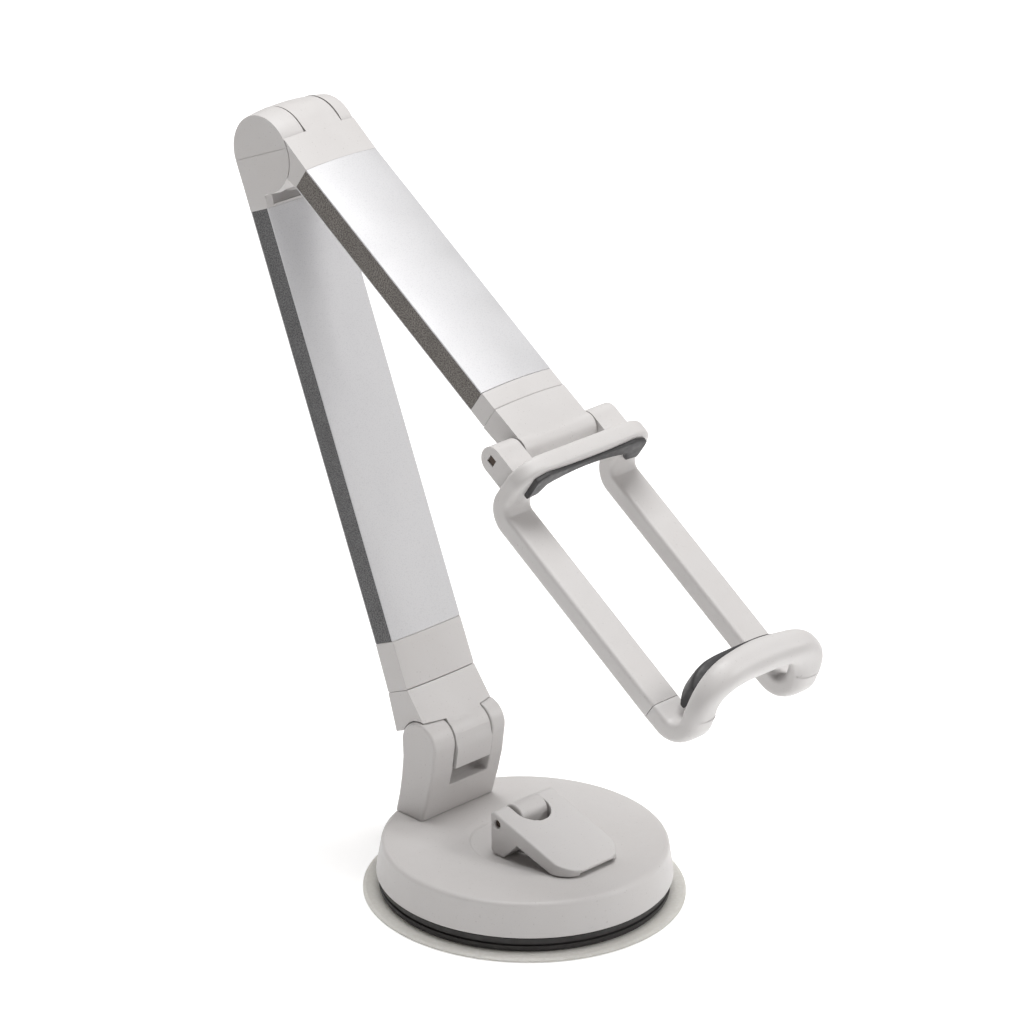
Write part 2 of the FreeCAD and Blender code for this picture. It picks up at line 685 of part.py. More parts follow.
def make_head_knuckle():
    """Block in line with the upper arm that ends in the barrel of the clamp hinge."""
    body = new_body("head_knuckle", UPPER)
    middle = size("upper_plane")
    half = size("arm_thick") / 2
    rise = size("head_rise")
    radius = size("head_barrel_radius")
    along = size("head_along")
    crowned_block(body,
                  (size("upper_seam") + 0.05, middle - half - 0.15, middle + half + 0.15, size("crown")),
                  (along, rise - radius + 0.4, rise + radius - 0.4, 0.3))
    pad_circle(body, "YZ_Plane", "head_rise", "head_along", "head_barrel_radius", 2 * size("head_half_wide"))
    cut_circle(body, "YZ_Plane", "head_rise", "head_along",
               size("clamp_pin_radius") + size("running_clearance"), 60.0)
    cut_circle(body, "XY_Plane", 0, middle, "swivel_bolt_radius", 2 * 6.2, "upper_seam")
    keep("head_knuckle", body)


# ---------------------------------------------------------------- phone clamp


def make_clamp_pin():
    square = size("clamp_pin_square") / 2
    body = turned("clamp_pin", ring_profile(0, "clamp_pin_radius", 0, 26.6), along_x(CLAMP, -13.3))
    for start in (-7.5, 26.6):
        pad_outline(body, "XY_Plane", [(-square, -square), (square, -square), (square, square),
                                       (-square, square)], 7.5, start, both_ways=False)
    keep("clamp_pin", body)
    washer = ring_profile(size("clamp_pin_radius") + 0.03, 3.6, 0.03, 0.5)
    keep("barrel_washer", turned("barrel_washer", washer, along_x(CLAMP, size("head_half_wide"))))


def rail_channels(body, start, end):
    """Channels in the backs of both rails for the guide rods and springs, and seats for their covers."""
    half = 2.3
    for side in (-1, 1):
        x = side * size("rod_spread")
        cut_outline(body, "XY_Plane",
                    [(x - half, -20.0), (x + half, -20.0), (x + half, -6.3), (x - half, -6.3)],
                    end - start, start, both_ways=False, flip=True)
        cut_outline(body, "XY_Plane",
                    [(x - 3.4, -20.0), (x + 3.4, -20.0), (x + 3.4, -10.4), (x - 3.4, -10.4)],
                    end - start + 6.0, start - 3.0, both_ways=False, flip=True)
        cut_circle(body, "XY_Plane", x, "-rod_depth", size("rod_radius") + size("running_clearance"), 80.0,
                   "rail_end", both_ways=True)


def make_clamp_frame():
    """Two rails that hook forward at the top into a raised crossbar, and the ears of the clamp hinge."""
    body = new_body("clamp_frame", CLAMP)
    wide = 2 * size("frame_half_wide")
    inner = size("rail_inner")
    pad_outline(body, "YZ_Plane", [
        ("-rail_bottom", "rail_end"), ("-rail_bottom", "hook_back"), ("hook_top", "hook_back"),
        (8.3, "hook_front"), ("-rail_top", "hook_front"), ("-rail_top", "rail_end")], wide)
    cut_outline(body, "XY_Plane", [(-inner, -20.0), (inner, -20.0), (inner, -4.0), (-inner, -4.0)], 300.0)
    cut_outline(body, "XY_Plane", [(-inner, -4.5), (inner, -4.5), (inner, 0.4), (inner - 4.0, "hook_window_top"),
                                   (4.0 - inner, "hook_window_top"), (-inner, 0.4)], 300.0)
    round_edges(body, 7.0, lambda p, e: abs(p.y + size("rail_bottom")) < 0.01
                and abs(p.z - size("hook_back")) < 0.01)
    round_edges(body, 2.6, lambda p, e: abs(p.y + size("rail_top")) < 0.01
                and abs(p.z - size("hook_front")) < 0.01)
    for side in (-1, 1):
        trim_corner(body, side * wide / 2, size("hook_top"), 6.0)
    ear_wide = size("frame_ear_outer") - size("frame_ear_inner")
    for side in (-1, 1):
        middle = side * (size("frame_ear_outer") + size("frame_ear_inner")) / 2
        pad_circle(body, "YZ_Plane", 0, 0, "frame_ear_radius", ear_wide, middle)
        pad_outline(body, "YZ_Plane", [
            ("-frame_ear_radius", 0), ("frame_ear_radius", 0), ("frame_ear_radius", 8.0),
            ("-frame_ear_radius", 8.6)], ear_wide, middle)
    square = size("clamp_pin_square") / 2 + 0.01
    cut_outline(body, "YZ_Plane", [(-square, -square), (square, -square), (square, square), (-square, square)],
                60.0)
    rail_channels(body, 14.5, 72.5)
    keep("clamp_frame", body)


def make_rail_covers():
    covers = []
    screws = []
    for side in (-1, 1):
        x = side * size("rod_spread")
        cover = new_body("rail_cover", CLAMP)
        pad_outline(cover, "XY_Plane",
                    [(x - 3.3, -11.4), (x + 3.3, -11.4), (x + 3.3, -10.45), (x - 3.3, -10.45)],
                    63.8, 11.6, both_ways=False)
        covers.append(cover)
        for height in (13.0, 74.0):
            cut_circle(cover, "XZ_Plane", x, height, 0.8, 60.0)
            place = CLAMP.multiply(Placement(Vector(x, -11.35, height), Rotation(Vector(1, 0, 0), -90)))
            screws.append(turned("cover_screw", ring_profile(0, 0.75, 0.0, 0.9), place))
    group("rail_covers", covers)
    group("rail_cover_screws", screws)


def make_top_pad():
    """Rubber pad under the crossbar: thin in the middle, thicker legs at both ends."""
    body = new_body("top_pad", CLAMP)
    front = size("hook_front")
    half = 20.5
    leg = 15.4
    pad_outline(body, "XZ_Plane", [(-half, front), (half, front), (half, front + 1.7), (-half, front + 1.7)],
                11.0, -3.5, bulges={2: (0, front + 0.8)})
    cut_outline(body, "XY_Plane", [(-half - 1, 8.7), (half + 1, 8.7), (half + 1, 20.0), (-half - 1, 20.0)],
                60.0, bulges={0: (0, 7.3)})
    cut_outline(body, "XY_Plane", [(-leg, -3.0), (leg, -3.0), (leg, 1.6), (-leg, 1.6)],
                60.0, bulges={2: (0, 4.9)})
    keep("top_pad", body)


def make_jaw():
    """Sprung lower jaw: rail stubs that bend up into posts, joined by a bowed crossbar."""
    body = new_body("jaw", CLAMP)
    wide = 2 * size("frame_half_wide")
    inner = size("rail_inner")
    seam = size("rail_end") + 0.1
    pad_outline(body, "YZ_Plane", [
        ("-rail_bottom", seam), ("-rail_top", seam), ("-rail_top", "jaw_post_back"), (1.0, "jaw_post_back"),
        (1.0, "jaw_post_front"), ("-rail_bottom", "jaw_post_front")], wide)
    cut_outline(body, "XY_Plane", [(-inner, -20.0), (inner, -20.0), (inner, 20.0), (-inner, 20.0)], 300.0)
    round_edges(body, 8.5, lambda p, e: abs(p.y + size("rail_bottom")) < 0.01
                and abs(p.z - size("jaw_post_front")) < 0.01)
    round_edges(body, 2.6, lambda p, e: abs(p.y + size("rail_top")) < 0.01
                and abs(p.z - size("jaw_post_back")) < 0.01)
    bow = size("jaw_bow")
    back = size("jaw_post_back")
    front = size("jaw_post_front")
    half = wide / 2
    bar_low = -0.4
    pad_outline(body, "XZ_Plane", [(-half, back), (half, back), (half, front), (-half, front)],
                size("jaw_top") - bar_low, -(size("jaw_top") + bar_low) / 2,
                bulges={0: (0, back - bow), 2: (0, front - size("jaw_under_bow"))})
    bottom = size("jaw_bar_bottom")
    corner = bottom - bar_low
    reach = corner * (1 - math.sqrt(0.5))
    cut_outline(body, "XY_Plane", [
        (-inner, -20.0), (inner, -20.0), (inner, bar_low), (inner - corner, bottom),
        (corner - inner, bottom), (-inner, bar_low)], 300.0,
        bulges={2: (inner - reach, bottom - reach), 4: (reach - inner, bottom - reach)})
    for side in (-1, 1):
        trim_corner(body, side * half, size("jaw_top"), 8.5)
        cut_circle(body, "XY_Plane", side * size("rod_spread"), "-rod_depth", "rod_radius", 2 * 6.0, seam)
    keep("jaw", body)


def make_jaw_pad():
    """Thick rubber pad on the crossbar's inner face, with a leg on each post."""
    body = new_body("jaw_pad", CLAMP)
    back = size("jaw_post_back")
    half = 19.5
    inner_face = 75.6
    corner = 3.0
    reach = corner * math.sqrt(0.5)
    bar_mid = back - size("jaw_bow") - 0.03
    bar_end = back - size("jaw_bow") * (1 - (half / size("frame_half_wide")) ** 2) - 0.15
    low, high = -3.5, 7.2
    pad_outline(body, "XZ_Plane", [
        (-half, bar_end), (-half, inner_face + corner), (corner - half, inner_face),
        (half - corner, inner_face), (half, inner_face + corner), (half, bar_end)],
        high - low, -(high + low) / 2,
        bulges={1: (corner - half - reach, inner_face + corner - reach),
                3: (half - corner + reach, inner_face + corner - reach), 5: (0, bar_mid)})
    for side in (-1, 1):
        trim_corner(body, side * half, high, 4.0)
    cut_outline(body, "XY_Plane", [(-13.0, -10.0), (13.0, -10.0), (13.0, -1.0), (-13.0, -1.0)],
                300.0, bulges={2: (0, 3.0)})
    keep("jaw_pad", body)


def make_rods_and_springs():
    """Guide rods fixed in the jaw, headed at their upper ends, and the springs that they compress."""
    rods = []
    coils = []
    head_start = 15.0
    spring_start = 16.6
    spring_end = 72.3
    for side in (-1, 1):
        place = CLAMP.multiply(Placement(Vector(side * size("rod_spread"), -size("rod_depth"), head_start),
                                         Rotation()))
        rods.append(turned("guide_rod", headed_profile("rod_radius", 1.9, 1.5, 67.5), place))
        helix = Part.makeHelix(2.1, spring_end - spring_start, 1.55)
        section = Part.Wire(Part.makeCircle(0.22, Vector(1.55, 0, 0), Vector(0, 1, 0)))
        coil = Part.Wire(helix.Edges).makePipeShell([section], True, True)
        coil.translate(Vector(0, 0, spring_start - head_start))
        coil.Placement = place.multiply(coil.Placement)
        coils.append(coil)
    group("guide_rods", rods)
    springs = doc.addObject("Part::Feature", "jaw_springs")
    springs.Shape = Part.makeCompound(coils)
    keep("jaw_springs", springs)


def build():
    make_gel_lip()
    make_suction_cup()
    make_base_housing()
    make_stem()
    make_lever()
    make_bracket()
    hinge_hardware("base_hinge", BASE, size("bracket_hinge_back"), size("bracket_hinge_height"),
                   size("base_bolt_radius"), 3.2, 2.3, size("bracket_half_wide"), 3.35, 5.0)
    make_lower_knuckle()
    make_lower_arm()
    make_elbow_clevis()
    hinge_hardware("elbow", LOWER, -size("elbow_forward"), size("elbow_along"),
                   size("elbow_bolt_radius"), 4.5, 2.6, size("arm_half_wide"), 4.6, 8.0)
    make_elbow_tongue()
    make_upper_arm()
    make_head_knuckle()
    make_clamp_pin()
    make_clamp_frame()
    make_rail_covers()
    make_top_pad()
    make_jaw()
    make_jaw_pad()
    make_rods_and_springs()


def check_document():
    doc.recompute()
    for item in doc.Objects:
        if "Invalid" in item.State or "Error" in item.State:
            raise RuntimeError(f"{item.Name} failed: {item.State}")
    for piece in pieces:
        if piece.Shape.isNull() or not piece.Shape.isValid():
            raise RuntimeError(f"{piece.Label} has no valid shape")


def write_pieces():
    os.makedirs("parts", exist_ok=True)
    for piece in pieces:
        piece.Shape.exportStep(f"parts/{piece.Label}.step")
        print(f"{piece.Label}: {len(piece.Shape.Solids)} solid, {piece.Shape.Volume:.1f} mm3")


build()
check_document()
write_pieces()
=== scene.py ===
"""Folding phone stand on a suction base: looks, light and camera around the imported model.

Metres. The hinge axes run along X, the clamp side faces -Y, and the base stands on z = 0.
"""

import json
import math

import bmesh
import bpy
from mathutils import Matrix, Vector


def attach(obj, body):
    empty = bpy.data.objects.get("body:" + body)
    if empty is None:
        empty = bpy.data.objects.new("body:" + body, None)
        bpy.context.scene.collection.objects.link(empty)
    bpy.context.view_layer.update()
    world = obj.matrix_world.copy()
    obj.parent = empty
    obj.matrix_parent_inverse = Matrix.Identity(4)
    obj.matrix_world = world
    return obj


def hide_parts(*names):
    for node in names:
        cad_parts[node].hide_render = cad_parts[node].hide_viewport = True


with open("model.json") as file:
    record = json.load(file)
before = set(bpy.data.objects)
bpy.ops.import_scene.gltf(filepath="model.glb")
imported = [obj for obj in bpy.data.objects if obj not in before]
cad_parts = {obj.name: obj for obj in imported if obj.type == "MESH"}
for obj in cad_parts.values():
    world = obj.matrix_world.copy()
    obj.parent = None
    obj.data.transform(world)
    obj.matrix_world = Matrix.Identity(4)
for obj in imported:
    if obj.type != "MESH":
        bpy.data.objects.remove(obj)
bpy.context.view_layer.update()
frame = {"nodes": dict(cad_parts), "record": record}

MM = 0.001
UPPER_TURN = math.radians(123.7)
CLAMP_ORIGIN = Vector((0.0, -6.849, 132.490)) * MM

BODY_OF = {
    node: body
    for body, nodes in frame["record"]["behaviour"]["bodies"].items()
    for node in nodes
}
SLOT_OF = {entry["node"]: entry["material_slot"] for entry in frame["record"]["subparts"]}


def upright(origin, angle):
    """The frame at origin whose axes are turned about X by angle."""
    return Matrix.Translation(origin) @ Matrix.Rotation(angle, 4, "X")


CLAMP = upright(CLAMP_ORIGIN, UPPER_TURN)
BASE = Matrix.Identity(4)

# the colour sockets of a mix node
MIX_FIRST = 6
MIX_SECOND = 7
MIX_RESULT = 2

# the clamp's rails, in millimetres in the clamp's frame: x across, w forward, v down the rail
RAIL_X = -19.65
RAIL_W = -8.55
RAIL_HALF_SIDE = 4.83
RAIL_HALF_THICK = 2.80
FRAME_SEAM = 76.87
JAW_SEAM = 77.03
RING_POINTS = 56


# ---------------------------------------------------------------- materials


class Surface:
    """A principled material with helpers that add one layer of detail each."""

    def __init__(self, name, color, roughness, metallic=0.0, **sockets):
        self.material = bpy.data.materials.new(name)
        self.material.use_nodes = True
        self.tree = self.material.node_tree
        self.shader = self.tree.nodes["Principled BSDF"]
        self.place = self.tree.nodes.new("ShaderNodeTexCoord").outputs["Object"]
        self.shader.inputs["Base Color"].default_value = (*color, 1.0)
        self.shader.inputs["Roughness"].default_value = roughness
        self.shader.inputs["Metallic"].default_value = metallic
        for socket, value in sockets.items():
            self.shader.inputs[socket.replace("_", " ")].default_value = value
        self.color = tuple(color)
        self.color_out = None
        self.bump_out = None

    def node(self, kind, **settings):
        node = self.tree.nodes.new(kind)
        for key, value in settings.items():
            if hasattr(node, key):
                setattr(node, key, value)
            else:
                node.inputs[key].default_value = value
        return node

    def stretched(self, scale):
        mapping = self.node("ShaderNodeMapping")
        mapping.inputs["Scale"].default_value = scale
        self.tree.links.new(self.place, mapping.inputs["Vector"])
        return mapping.outputs["Vector"]

    def noise(self, scale, detail=3.0, stretch=None):
        node = self.node("ShaderNodeTexNoise", Scale=scale, Detail=detail)
        place = self.stretched(stretch) if stretch else self.place
        self.tree.links.new(place, node.inputs["Vector"])
        return node.outputs["Fac"]

    def cells(self, scale, output="Color"):
        node = self.node("ShaderNodeTexVoronoi", Scale=scale)
        self.tree.links.new(self.place, node.inputs["Vector"])
        return node.outputs[output]

    def ramp(self, value, stops):
        """Color ramp from a list of (position, (r, g, b))."""
        node = self.node("ShaderNodeValToRGB")
        elements = node.color_ramp.elements
        while len(elements) < len(stops):
            elements.new(0.5)
        for element, (position, color) in zip(elements, stops):
            element.position = position
            element.color = (*color, 1.0)
        self.tree.links.new(value, node.inputs["Fac"])
        return node.outputs["Color"]

    def span(self, value, low, high, start=0.3, end=0.7):
        node = self.node("ShaderNodeMapRange")
        for name, number in (("From Min", start), ("From Max", end), ("To Min", low), ("To Max", high)):
            node.inputs[name].default_value = number
        self.tree.links.new(value, node.inputs["Value"])
        return node.outputs["Result"]

    def tint(self, factor, tone):
        """Multiply the colour so far by tone where factor is 1."""
        node = self.node("ShaderNodeMix", data_type="RGBA", blend_type="MULTIPLY")
        self.tree.links.new(factor, node.inputs["Factor"])
        if self.color_out is None:
            node.inputs[MIX_FIRST].default_value = (*self.color, 1.0)
        else:
            self.tree.links.new(self.color_out, node.inputs[MIX_FIRST])
        node.inputs[MIX_SECOND].default_value = (*tone, 1.0)
        self.color_out = node.outputs[MIX_RESULT]
        self.tree.links.new(self.color_out, self.shader.inputs["Base Color"])
        return self

    def gloss(self, value, low, high):
        self.tree.links.new(self.span(value, low, high), self.shader.inputs["Roughness"])
        return self

    def bump(self, height, distance, strength=1.0):
        node = self.node("ShaderNodeBump", Distance=distance, Strength=strength)
        self.tree.links.new(height, node.inputs["Height"])
        if self.bump_out is not None:
            self.tree.links.new(self.bump_out, node.inputs["Normal"])
        self.bump_out = node.outputs["Normal"]
        self.tree.links.new(self.bump_out, self.shader.inputs["Normal"])
        return self


def moulded_white(name, color, roughness):
    """Warm white ABS: faint mottle, sparse darker specks, fine spark-eroded grain."""
    surface = Surface(name, color, roughness, Specular_IOR_Level=0.42)
    surface.tint(surface.span(surface.noise(45.0), 0.0, 0.35), (0.93, 0.915, 0.90))
    surface.tint(surface.span(surface.noise(1900.0, 2.0), 0.0, 0.9, 0.68, 0.74), (0.80, 0.79, 0.78))
    surface.gloss(surface.noise(320.0), roughness - 0.06, roughness + 0.10)
    surface.bump(surface.noise(2600.0, 4.0), 0.00002, 0.35)
    surface.bump(surface.noise(90.0, 2.0), 0.00005, 0.12)
    return surface.material


def satin_plate(name, color, roughness):
    """Satin anodised sheet: fine sparkle, faint lengthwise grain, soft large darker patches."""
    surface = Surface(name, color, roughness, metallic=0.40)
    surface.tint(surface.span(surface.noise(3200.0, 1.0), 0.0, 0.7, 0.52, 0.72), (0.86, 0.86, 0.87))
    # soft large darker patches across the sheet, a faint coarse darkening
    surface.tint(surface.span(surface.noise(25.0), 0.0, 0.25), (0.93, 0.93, 0.95))
    surface.gloss(surface.noise(70.0, 4.0, (1.0, 1.0, 0.15)), roughness - 0.05, roughness + 0.08)
    surface.bump(surface.noise(3600.0, 2.0), 0.00001, 0.3)
    return surface.material


def flecked_core(name, dark, light):
    """Dark extruded strip with light and dark flecks."""
    surface = Surface(name, dark, 0.55)
    flecks = surface.ramp(surface.noise(2600.0, 3.0), [(0.38, dark), (0.60, light)])
    surface.tree.links.new(flecks, surface.shader.inputs["Base Color"])
    surface.color_out = flecks
    surface.tint(surface.span(surface.noise(150.0), 0.0, 0.5), (0.72, 0.71, 0.70))
    surface.gloss(surface.noise(900.0), 0.42, 0.66)
    surface.bump(surface.noise(2600.0, 3.0), 0.00003, 0.5)
    return surface.material


def soft_rubber(name, color, roughness, sheen):
    surface = Surface(name, color, roughness, Sheen_Weight=sheen, Sheen_Roughness=0.4)
    surface.tint(surface.span(surface.noise(140.0), 0.0, 0.5), (0.75, 0.75, 0.78))
    surface.gloss(surface.noise(600.0), roughness - 0.08, roughness + 0.12)
    surface.bump(surface.noise(3000.0, 3.0), 0.00002, 0.5)
    return surface.material


def tacky_gel(name):
    """Pale translucent polymer with a fine cellular texture."""
    surface = Surface(name, (0.86, 0.85, 0.82), 0.42, Transmission_Weight=0.35, IOR=1.42)
    surface.tint(surface.span(surface.cells(900.0, "Distance"), 0.0, 0.5, 0.1, 0.7), (0.88, 0.87, 0.84))
    surface.gloss(surface.noise(400.0), 0.32, 0.55)
    surface.bump(surface.cells(1100.0, "Distance"), 0.00008, 0.5)
    return surface.material


def plated_steel(name):
    surface = Surface(name, (0.050, 0.032, 0.022), 0.42, metallic=0.55)
    surface.tint(surface.span(surface.noise(500.0), 0.0, 0.6), (0.62, 0.58, 0.54))
    surface.gloss(surface.noise(250.0, 3.0, (0.1, 1.0, 1.0)), 0.28, 0.5)
    surface.bump(surface.noise(1800.0, 2.0, (0.08, 1.0, 1.0)), 0.00002, 0.3)
    return surface.material


def natural_nylon(name):
    surface = Surface(name, (0.56, 0.545, 0.52), 0.5, Subsurface_Weight=0.05)
    surface.tint(surface.span(surface.noise(220.0), 0.0, 0.5), (0.90, 0.89, 0.87))
    surface.gloss(surface.noise(500.0), 0.42, 0.6)
    surface.bump(surface.noise(1600.0), 0.00003, 0.3)
    return surface.material


MATERIALS = {
    "white_shell": moulded_white("moulded white shell", (0.625, 0.611, 0.605), 0.40),
    "white_lever": moulded_white("moulded white lever", (0.655, 0.643, 0.639), 0.44),
    "cover_strip": moulded_white("moulded cover strip", (0.54, 0.525, 0.52), 0.48),
    "dark_rubber": soft_rubber("ribbed dark rubber", (0.030, 0.028, 0.027), 0.55, 0.05),
    "grey_rubber": soft_rubber("soft grey rubber", (0.040, 0.039, 0.041), 0.5, 0.12),
    "clear_gel": tacky_gel("tacky gel"),
    "nylon": natural_nylon("natural nylon"),
    "silver_plate": satin_plate("satin silver plate", (0.66, 0.66, 0.67), 0.55),
    "grey_core": flecked_core("flecked grey core", (0.045, 0.045, 0.047), (0.16, 0.16, 0.165)),
    "brown_core": flecked_core("flecked brown core", (0.060, 0.052, 0.046), (0.23, 0.21, 0.19)),
    "steel": plated_steel("plated steel"),
}


def paint(obj, slot):
    obj.data.materials.clear()
    obj.data.materials.append(MATERIALS[slot])


# ---------------------------------------------------------------- pieces


def soften_edges(obj, width, segments=2):
    """Round a CAD node's edges without changing its mesh."""
    weld = obj.modifiers.new("weld", "WELD")
    weld.merge_threshold = 0.000002
    bevel = obj.modifiers.new("rounding", "BEVEL")
    bevel.width = width
    bevel.segments = segments
    bevel.limit_method = "ANGLE"
    bevel.angle_limit = math.radians(38)
    bevel.harden_normals = False
    normals = obj.modifiers.new("normals", "WEIGHTED_NORMAL")
    normals.keep_sharp = False
    normals.weight = 80


def stand_in(piece, node):
    """Let the piece take the place of a CAD node in the visual model."""
    paint(piece, SLOT_OF[node])
    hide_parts(node)
    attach(piece, BODY_OF[node])


def add_trim(name, mesh, node, rounding):
    """Add a small clamp piece that moves with a CAD node and has its material."""
    piece = bpy.data.objects.new(name, mesh)
    bpy.context.scene.collection.objects.link(piece)
    piece.matrix_world = CLAMP
    soften_edges(piece, rounding * MM)
    paint(piece, SLOT_OF[node])
    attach(piece, BODY_OF[node])


def fix_normals(mesh):
    shape = bmesh.new()
    shape.from_mesh(mesh)
    bmesh.ops.recalc_face_normals(shape, faces=shape.faces)
    shape.to_mesh(mesh)
    shape.free()


def moulded(node, turn, voxel, passes):
    """A copy of a CAD node, remeshed in its own upright frame, with softly rounded edges."""
    source = frame["nodes"][node]
    mesh = source.data.copy()
    mesh.transform(turn.inverted() @ source.matrix_world)
    piece = bpy.data.objects.new(f"{node}_moulded", mesh)
    bpy.context.scene.collection.objects.link(piece)
    piece.matrix_world = turn
    remesh = piece.modifiers.new("even", "REMESH")
    remesh.mode = "VOXEL"
    remesh.voxel_size = voxel
    remesh.use_smooth_shade = True
    smooth = piece.modifiers.new("soften", "SMOOTH")
    smooth.factor = 0.5
    smooth.iterations = passes
    stand_in(piece, node)


class Station:
    """One cross-section of a bent moulded bar, in millimetres in the clamp's frame."""

    def __init__(self, centre, side, thick, half_side, half_thick, power):
        self.centre = Vector(centre)
        self.side = Vector(side)
        self.thick = Vector(thick)
        self.half_side = half_side
        self.half_thick = half_thick
        self.power = power

    def mirrored(self):
        flip = Vector((-1.0, 1.0, 1.0))
        return Station(self.centre * flip, self.side * flip, self.thick * flip,
                       self.half_side, self.half_thick, self.power)

    def ring(self, count):
        """Points of a rounded rectangle: a superellipse of the given power."""
        points = []
        for i in range(count):
            angle = 2 * math.pi * (i + 0.5) / count
            across, out = math.cos(angle), math.sin(angle)
            reach = (abs(across) ** self.power + abs(out) ** self.power) ** (-1 / self.power)
            points.append(self.centre + self.side * (across * reach * self.half_side)
                          + self.thick * (out * reach * self.half_thick))
        return points


def blend(start, end, share):
    smooth = share * share * (3 - 2 * share)
    return start + (end - start) * smooth


def steps(count):
    return [i / count for i in range(count + 1)]


def frame_stations():
    """Left half of the clamp frame: up the rail, forward round the hook, across the crossbar."""
    hook_v, bend_start = 9.55, 14.4
    stations = []
    for share in steps(12):
        stations.append(Station((RAIL_X, RAIL_W, FRAME_SEAM + (bend_start - FRAME_SEAM) * share),
                                (-1, 0, 0), (0, -1, 0), RAIL_HALF_SIDE, RAIL_HALF_THICK, 7.0))
    for share in steps(14)[1:]:
        turn = math.radians(90) * share
        centre = (RAIL_X, -3.4 - 5.15 * math.cos(turn), bend_start - 4.85 * math.sin(turn))
        stations.append(Station(centre, (-1, 0, 0), (0, -math.cos(turn), -math.sin(turn)),
                                RAIL_HALF_SIDE, RAIL_HALF_THICK - 0.15 * share, 7.0 - 2.0 * share))
    for share in steps(16):
        turn = math.radians(90) * share
        centre = (-13.0 - 6.65 * math.cos(turn), 2.0 + 4.4 * math.sin(turn), hook_v)
        half_side = RAIL_HALF_SIDE + 0.45 * math.sin(2 * turn) - 2.03 * blend(0, 1, share)
        stations.append(Station(centre, (-math.cos(turn), math.sin(turn), 0), (0, 0, -1),
                                half_side, 2.65, 5.0 - 0.6 * share))
    for share in steps(8)[1:]:
        stations.append(Station((-13.0 * (1 - share), 6.4, hook_v),
                                (0, 1, 0), (0, 0, -1), 2.8, 2.65, 4.4))
    return stations


def jaw_stations():
    """Left half of the jaw: out of the rail, round the bend, up the leaning post, into the crossbar."""
    bend_v, bend = 81.7, 5.55
    lean = math.radians(14)
    corner, bar_w = 9.0, 9.45
    corner_x, corner_w = RAIL_X + corner, bar_w - corner

    def bar_v(x):
        return 82.1 + 4.0 * (x / 24.5) ** 2

    stations = []
    for share in steps(4):
        stations.append(Station((RAIL_X, RAIL_W, JAW_SEAM + (bend_v - JAW_SEAM) * share),
                                (-1, 0, 0), (0, -1, 0), RAIL_HALF_SIDE, RAIL_HALF_THICK, 7.0 - 1.5 * share))
    for share in steps(18)[1:]:
        turn = (math.radians(90) + lean) * share
        centre = (RAIL_X, RAIL_W + bend * (1 - math.cos(turn)), bend_v + bend * math.sin(turn))
        stations.append(Station(centre, (-1, 0, 0), (0, -math.cos(turn), math.sin(turn)),
                                RAIL_HALF_SIDE - 0.35 * share, RAIL_HALF_THICK + 0.15 * share,
                                5.5 - 2.9 * share))
    post = stations[-1].centre
    corner_v = post.z - math.tan(lean) * (corner_w - post.y)
    for share in steps(4)[1:]:
        centre = post.lerp(Vector((RAIL_X, corner_w, corner_v)), share)
        stations.append(Station(centre, (-1, 0, 0), (0, math.sin(lean), math.cos(lean)),
                                4.48, 2.95 + 0.25 * share, 2.6))
    for share in steps(22)[1:]:
        turn = math.radians(90) * share
        x = corner_x - corner * math.cos(turn)
        sloped_v = corner_v - math.tan(lean) * corner * math.sin(turn)
        centre = (x, corner_w + corner * math.sin(turn), blend(sloped_v, bar_v(x), min(1.0, 1.45 * share)))
        half_side = 4.48 + 0.35 * math.sin(2 * turn) - 0.38 * blend(0, 1, share)
        stations.append(Station(centre, (-math.cos(turn), math.sin(turn), 0), (0, 0, 1),
                                half_side, 3.2 + 0.9 * blend(0, 1, share), 2.6))
    for share in steps(8)[1:]:
        x = corner_x * (1 - share)
        stations.append(Station((x, bar_w, bar_v(x)), (0, 1, 0), (0, 0, 1), 4.1, 4.1 + 0.25 * share, 2.6))
    return stations


def strip_station(x, low_w, high_w, face_v, seat_v, power):
    """A section of a rubber strip that lies across the clamp, between two w and two v values."""
    centre = (x, (low_w + high_w) / 2, (face_v + seat_v) / 2)
    return Station(centre, (0, 1, 0), (0, 0, 1), (high_w - low_w) / 2, abs(face_v - seat_v) / 2, power)


def leg_share(x, inner):
    """1 over the pad's legs, 0 over its middle, with a soft step between them."""
    return blend(0, 1, min(1.0, max(0.0, (abs(x) - inner + 1.2) / 2.4)))


def top_pad_stations():
    stations = []
    for share in steps(40):
        x = 20.3 * (share - 1)
        end = abs(x) / 20.3
        corner = 2.0 + 6.3 * math.sqrt(1 - max(0.0, (abs(x) - 13.0) / 11.0) ** 2)
        high_w = min(7.2 + 1.4 * end * end, corner)
        low_w = (4.7 - 3.2 * end * end) - (4.9 - 3.2 * end * end) * leg_share(x, 15.6)
        face_v = 13.0 + 0.8 * end * end
        stations.append(strip_station(x, low_w, high_w, face_v, 12.0, 5.0))
    return stations


def jaw_pad_stations():
    stations = []
    for share in steps(40):
        x = 19.4 * (share - 1)
        end = abs(x) / 19.4
        low_w = 2.0 - 2.6 * end * end - 2.6 * leg_share(x, 13.2)
        high_w = 7.1 - 3.4 * end ** 4
        face_v = 75.65 + 4.6 * end ** 6
        seat_v = 78.0 + 4.3 * end * end
        stations.append(strip_station(x, low_w, high_w, face_v, seat_v, 4.0))
    return stations


